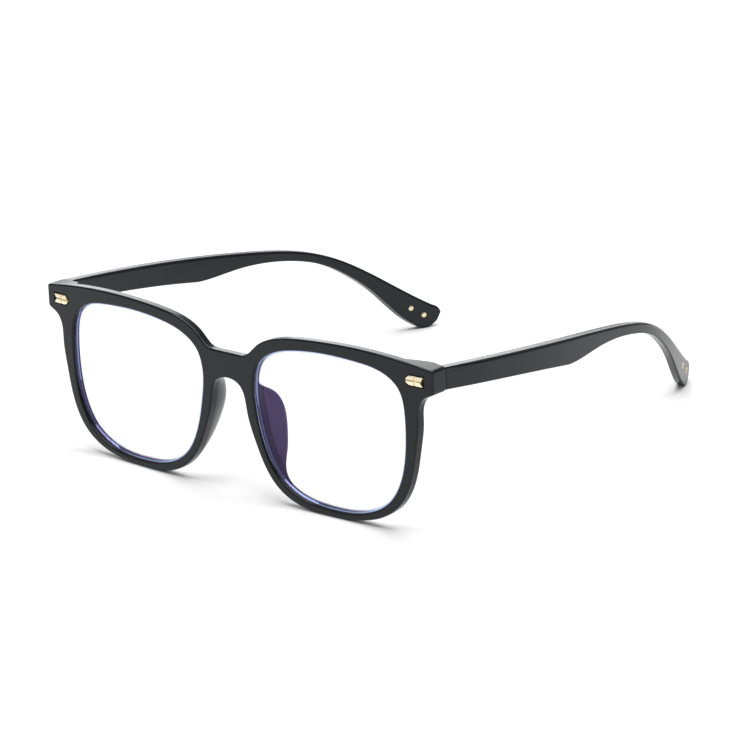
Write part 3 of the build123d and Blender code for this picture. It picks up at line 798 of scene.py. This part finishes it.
def ornament_solids():
    """Each solid of an ornament as a list of levels, which are rows of (across, up, forward) points."""
    half, high, groove = ORNAMENT_LENGTH / 2, ORNAMENT_HEIGHT / 2, ORNAMENT_GROOVE
    # Corners of the two upper facets, at the nose end and at the notched end
    nose = [
        (-half, groove), (-groove, groove), (-groove, high), (-half + NOSE_TAPER, high),
        (-half + NOSE_CORNER, high * NOSE_CORNER_HEIGHT),
    ]
    tail = [(groove, groove), (half - ORNAMENT_NOTCH, groove), (half, high), (groove, high)]
    solids = []
    for corners in (nose, tail):
        for flip in (1, -1):
            outline = np.array([(x, y * flip) for x, y in corners])[::flip]
            middle = outline.mean(0)
            from_middle = outline - middle
            size = np.linalg.norm(from_middle, axis=1)[:, None]
            inner = middle + from_middle * (1 - ORNAMENT_BEVEL / size)
            edge = ORNAMENT_PROUD - ORNAMENT_EDGE
            solids.append([
                [(x, y, -ORNAMENT_SEAT) for x, y in outline],
                [(x, y, edge - ORNAMENT_SLOPE * abs(y) / high) for x, y in outline],
                [(x, y, ORNAMENT_PROUD - ORNAMENT_SLOPE * abs(y) / high) for x, y in inner],
            ])
    # The plate under the facets shows as the floor of the grooves.
    corner, corner_height = 0.38, 0.58
    lower = [
        (-half + corner, -high * corner_height), (-half + NOSE_TAPER, -high + PLATE_INSET),
        (half - 2 * PLATE_INSET, -high + PLATE_INSET),
    ]
    plate = [(-half + PLATE_INSET, 0)] + lower + [(half - ORNAMENT_NOTCH - PLATE_INSET, 0)]
    plate += [(x, -y) for x, y in reversed(lower)]
    solids.append([[(x, y, z) for x, y in plate] for z in (-ORNAMENT_SEAT, GROOVE_FLOOR)])
    return solids


def build_ornament(side, material):
    """A notched arrow head of four facets parted by two grooves."""
    points, faces = [], []
    for levels in ornament_solids():
        n, rings, size = len(points), len(levels), len(levels[0])
        points += [point for level in levels for point in level]
        shell = loops_to_faces(rings, size) + end_caps(rings, size)
        faces += [tuple(n + i for i in face) for face in shell]
    space = on_side(side, ornament_to_space(np.array(points)))
    obj = make_object(f"{side}_arrow_ornament", space, faces, material, "front", sharp=25)
    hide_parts(f"{side}_endpiece_ornament")


# ---- Materials ----
NOISE_LOW, NOISE_HIGH = 0.3, 0.7  # nearly all of a noise's values lie between these


class Nodes:
    """A small helper for building a material's node tree."""

    def __init__(self, name):
        self.material = bpy.data.materials.new(name)
        self.material.use_nodes = True
        self.tree = self.material.node_tree
        self.shader = self.tree.nodes["Principled BSDF"]

    def add(self, kind, **settings):
        node = self.tree.nodes.new(kind)
        for key, value in settings.items():
            setattr(node, key, value)
        return node

    def join(self, source, target):
        self.tree.links.new(source, target)

    def value(self, socket, number):
        self.shader.inputs[socket].default_value = number

    def noise(self, scale, detail=4.0, roughness=0.5):
        """A noise over the piece. The scale is in waves to the metre."""
        place = self.add("ShaderNodeTexCoord")
        texture = self.add("ShaderNodeTexNoise")
        texture.inputs["Scale"].default_value = scale
        texture.inputs["Detail"].default_value = detail
        texture.inputs["Roughness"].default_value = roughness
        self.join(place.outputs["Object"], texture.inputs["Vector"])
        return texture.outputs["Fac"]

    def spread(self, source, low, high, socket):
        """Turns a noise into a value between low and high for one of the shader's sockets."""
        span = self.add("ShaderNodeMapRange")
        span.inputs["From Min"].default_value = NOISE_LOW
        span.inputs["From Max"].default_value = NOISE_HIGH
        span.inputs["To Min"].default_value = low
        span.inputs["To Max"].default_value = high
        self.join(source, span.inputs["Value"])
        self.join(span.outputs["Result"], self.shader.inputs[socket])

    def tint(self, source, low, high, start=NOISE_LOW, end=NOISE_HIGH):
        """Turns a value into a base colour between low and high."""
        ramp = self.add("ShaderNodeValToRGB")
        ramp.color_ramp.elements[0].position = start
        ramp.color_ramp.elements[0].color = (*low, 1)
        ramp.color_ramp.elements[1].position = end
        ramp.color_ramp.elements[1].color = (*high, 1)
        self.join(source, ramp.inputs["Fac"])
        self.join(ramp.outputs["Color"], self.shader.inputs["Base Color"])

    def bump(self, source, strength, distance):
        relief = self.add("ShaderNodeBump")
        relief.inputs["Strength"].default_value = strength
        relief.inputs["Distance"].default_value = distance
        self.join(source, relief.inputs["Height"])
        self.join(relief.outputs["Normal"], self.shader.inputs["Normal"])


def plastic():
    """Polished black moulding: faint cloudiness in the gloss and a barely uneven skin."""
    m = Nodes("black_moulded_plastic")
    m.tint(m.noise(180), (0.002, 0.0034, 0.0058), (0.0033, 0.005, 0.0082))
    m.spread(m.noise(420, 6), 0.17, 0.23, "Roughness")
    m.value("IOR", 1.35)
    m.value("Coat Weight", 0.06)
    m.value("Coat Roughness", 0.06)
    m.bump(m.noise(900, 3), 0.03, 0.00003)
    return m.material


def gold(name, dark, light):
    """Polished plating."""
    m = Nodes(name)
    m.tint(m.noise(1500), dark, light)
    m.spread(m.noise(3000, 6), 0.2, 0.32, "Roughness")
    m.value("Metallic", 1.0)
    m.bump(m.noise(5000, 3), 0.06, 0.00002)
    return m.material


def steel(name, dark, light, rough):
    """Turned or stamped metal, a little rougher in patches."""
    m = Nodes(name)
    m.tint(m.noise(900), dark, light)
    m.spread(m.noise(2500, 6), rough, rough + 0.12, "Roughness")
    m.value("Metallic", 1.0)
    m.bump(m.noise(4000, 3), 0.08, 0.00002)
    return m.material


def coated_lens():
    """A clear lens whose coating mirrors a little violet; the stronger, bluer band round its bevelled edge is
    a painted reflection.
    """
    middle_alpha, painted_edge_alpha = 0.055, 0.72
    m = Nodes("coated_clear_lens")
    edge = m.add("ShaderNodeAttribute", attribute_name="near_edge")
    # Painted reflection: towards the edge the tint turns periwinkle and the lens grows far more opaque,
    # giving the bevel's bright line.
    m.tint(edge.outputs["Fac"], (0.5, 0.34, 0.85), (0.38, 0.49, 0.78), start=0.0, end=0.4)
    span = m.add("ShaderNodeMapRange")
    span.inputs["To Min"].default_value = middle_alpha
    span.inputs["To Max"].default_value = painted_edge_alpha
    m.join(edge.outputs["Fac"], span.inputs["Value"])
    m.join(span.outputs["Result"], m.shader.inputs["Alpha"])
    m.spread(m.noise(60), 0.02, 0.05, "Roughness")
    m.value("Metallic", 1.0)
    return m.material


def pale(name, low, high):
    """A matt surface with a faint, wide mottling."""
    m = Nodes(name)
    m.tint(m.noise(3), low, high)
    m.value("Roughness", 0.9)
    m.value("Specular IOR Level", 0.1)
    return m.material


def clad(node, material):
    """Gives a carried CAD node a better material."""
    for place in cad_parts[node].material_slots:
        place.material = material


# ---- Studio, in metres ----
CAMERA_TURN, CAMERA_RISE, CAMERA_ROLL = radians(41.9524), radians(18.7082), radians(-2.9806)
CAMERA_DISTANCE = 1.11373
CAMERA_LENS = 187.26
CAMERA_TARGET = Vector((0.00019, -0.0135, 0.018791))
FLOOR_HALF = 4.0
WORLD_STRENGTH = 0.37


def build_camera():
    """A long lens that looks down on the glasses from the wearer's left front."""
    turn, rise, roll = CAMERA_TURN, CAMERA_RISE, CAMERA_ROLL
    back = Vector((sin(turn) * cos(rise), -cos(turn) * cos(rise), sin(rise)))
    level = Vector((cos(turn), sin(turn), 0))
    up = back.cross(level)
    x = level * cos(roll) + up * sin(roll)
    y = up * cos(roll) - level * sin(roll)
    camera = bpy.data.objects.new("camera", bpy.data.cameras.new("camera"))
    bpy.context.scene.collection.objects.link(camera)
    place = Matrix((x, y, back)).transposed().to_4x4()
    place.translation = CAMERA_TARGET + back * CAMERA_DISTANCE
    camera.matrix_world = place
    camera.data.lens = CAMERA_LENS
    camera.data.clip_start = 0.05
    camera.data.clip_end = 30
    bpy.context.scene.camera = camera


def area_light(name, place, aim, size, power):
    data = bpy.data.lights.new(name, "AREA")
    data.shape = "RECTANGLE"
    data.size, data.size_y = size
    data.energy = power
    lamp = bpy.data.objects.new(name, data)
    bpy.context.scene.collection.objects.link(lamp)
    lamp.location = place
    lamp.visible_camera = False
    lamp.rotation_euler = (Vector(aim) - Vector(place)).to_track_quat("-Z", "Y").to_euler()


def build_studio():
    """A pale floor under an overhead softbox, and a panel behind that lights the edges."""
    half = FLOOR_HALF
    mesh = bpy.data.meshes.new("floor")
    corners = [(-half, -half, 0), (half, -half, 0), (half, half, 0), (-half, half, 0)]
    mesh.from_pydata(corners, [], [(0, 1, 2, 3)])
    mesh.materials.append(pale("studio_floor", (0.88, 0.88, 0.88), (0.9, 0.9, 0.9)))
    floor = bpy.data.objects.new("floor", mesh)
    bpy.context.scene.collection.objects.link(floor)
    world = bpy.data.worlds.new("studio")
    world.use_nodes = True
    background = world.node_tree.nodes["Background"]
    background.inputs["Color"].default_value = (1, 1, 1, 1)
    background.inputs["Strength"].default_value = WORLD_STRENGTH
    bpy.context.scene.world = world
    area_light("overhead_softbox", (0, 0.05, 1.0), aim=(0, 0, 0), size=(1.0, 1.0), power=12.5)
    area_light("rear_panel", (-0.95, 1.05, 0.55), aim=(0, 0, 0.03), size=(1.6, 0.74), power=9.6)
    bpy.context.scene.view_settings.view_transform = "Standard"


# ---- Everything ----
black = plastic()
ornament_gold = gold("pale_gold", (0.9, 0.77, 0.54), (0.98, 0.87, 0.66))
pin_gold = gold("pin_gold", (0.66, 0.58, 0.4), (0.76, 0.68, 0.5))
clear = coated_lens()
build_front(black)
for side in ("left", "right"):
    build_temple(side, black)
    build_lens(side, clear)
    build_ornament(side, ornament_gold)
    for name, place in TIP_RIVETS.items():
        build_rivet(side, name, place, pin_gold)
hinge_metal = steel("hinge_steel", (0.085, 0.085, 0.088), (0.13, 0.13, 0.13), 0.34)
screw_metal = steel("screw_steel", (0.14, 0.14, 0.14), (0.2, 0.2, 0.2), 0.28)
core_metal = steel("core_wire", (0.35, 0.35, 0.36), (0.5, 0.5, 0.5), 0.3)
for side in ("left", "right"):
    clad(f"{side}_front_hinge", hinge_metal)
    clad(f"{side}_temple_hinge", hinge_metal)
    clad(f"{side}_hinge_screw", screw_metal)
    clad(f"{side}_temple_core", core_metal)
build_camera()
build_studio()
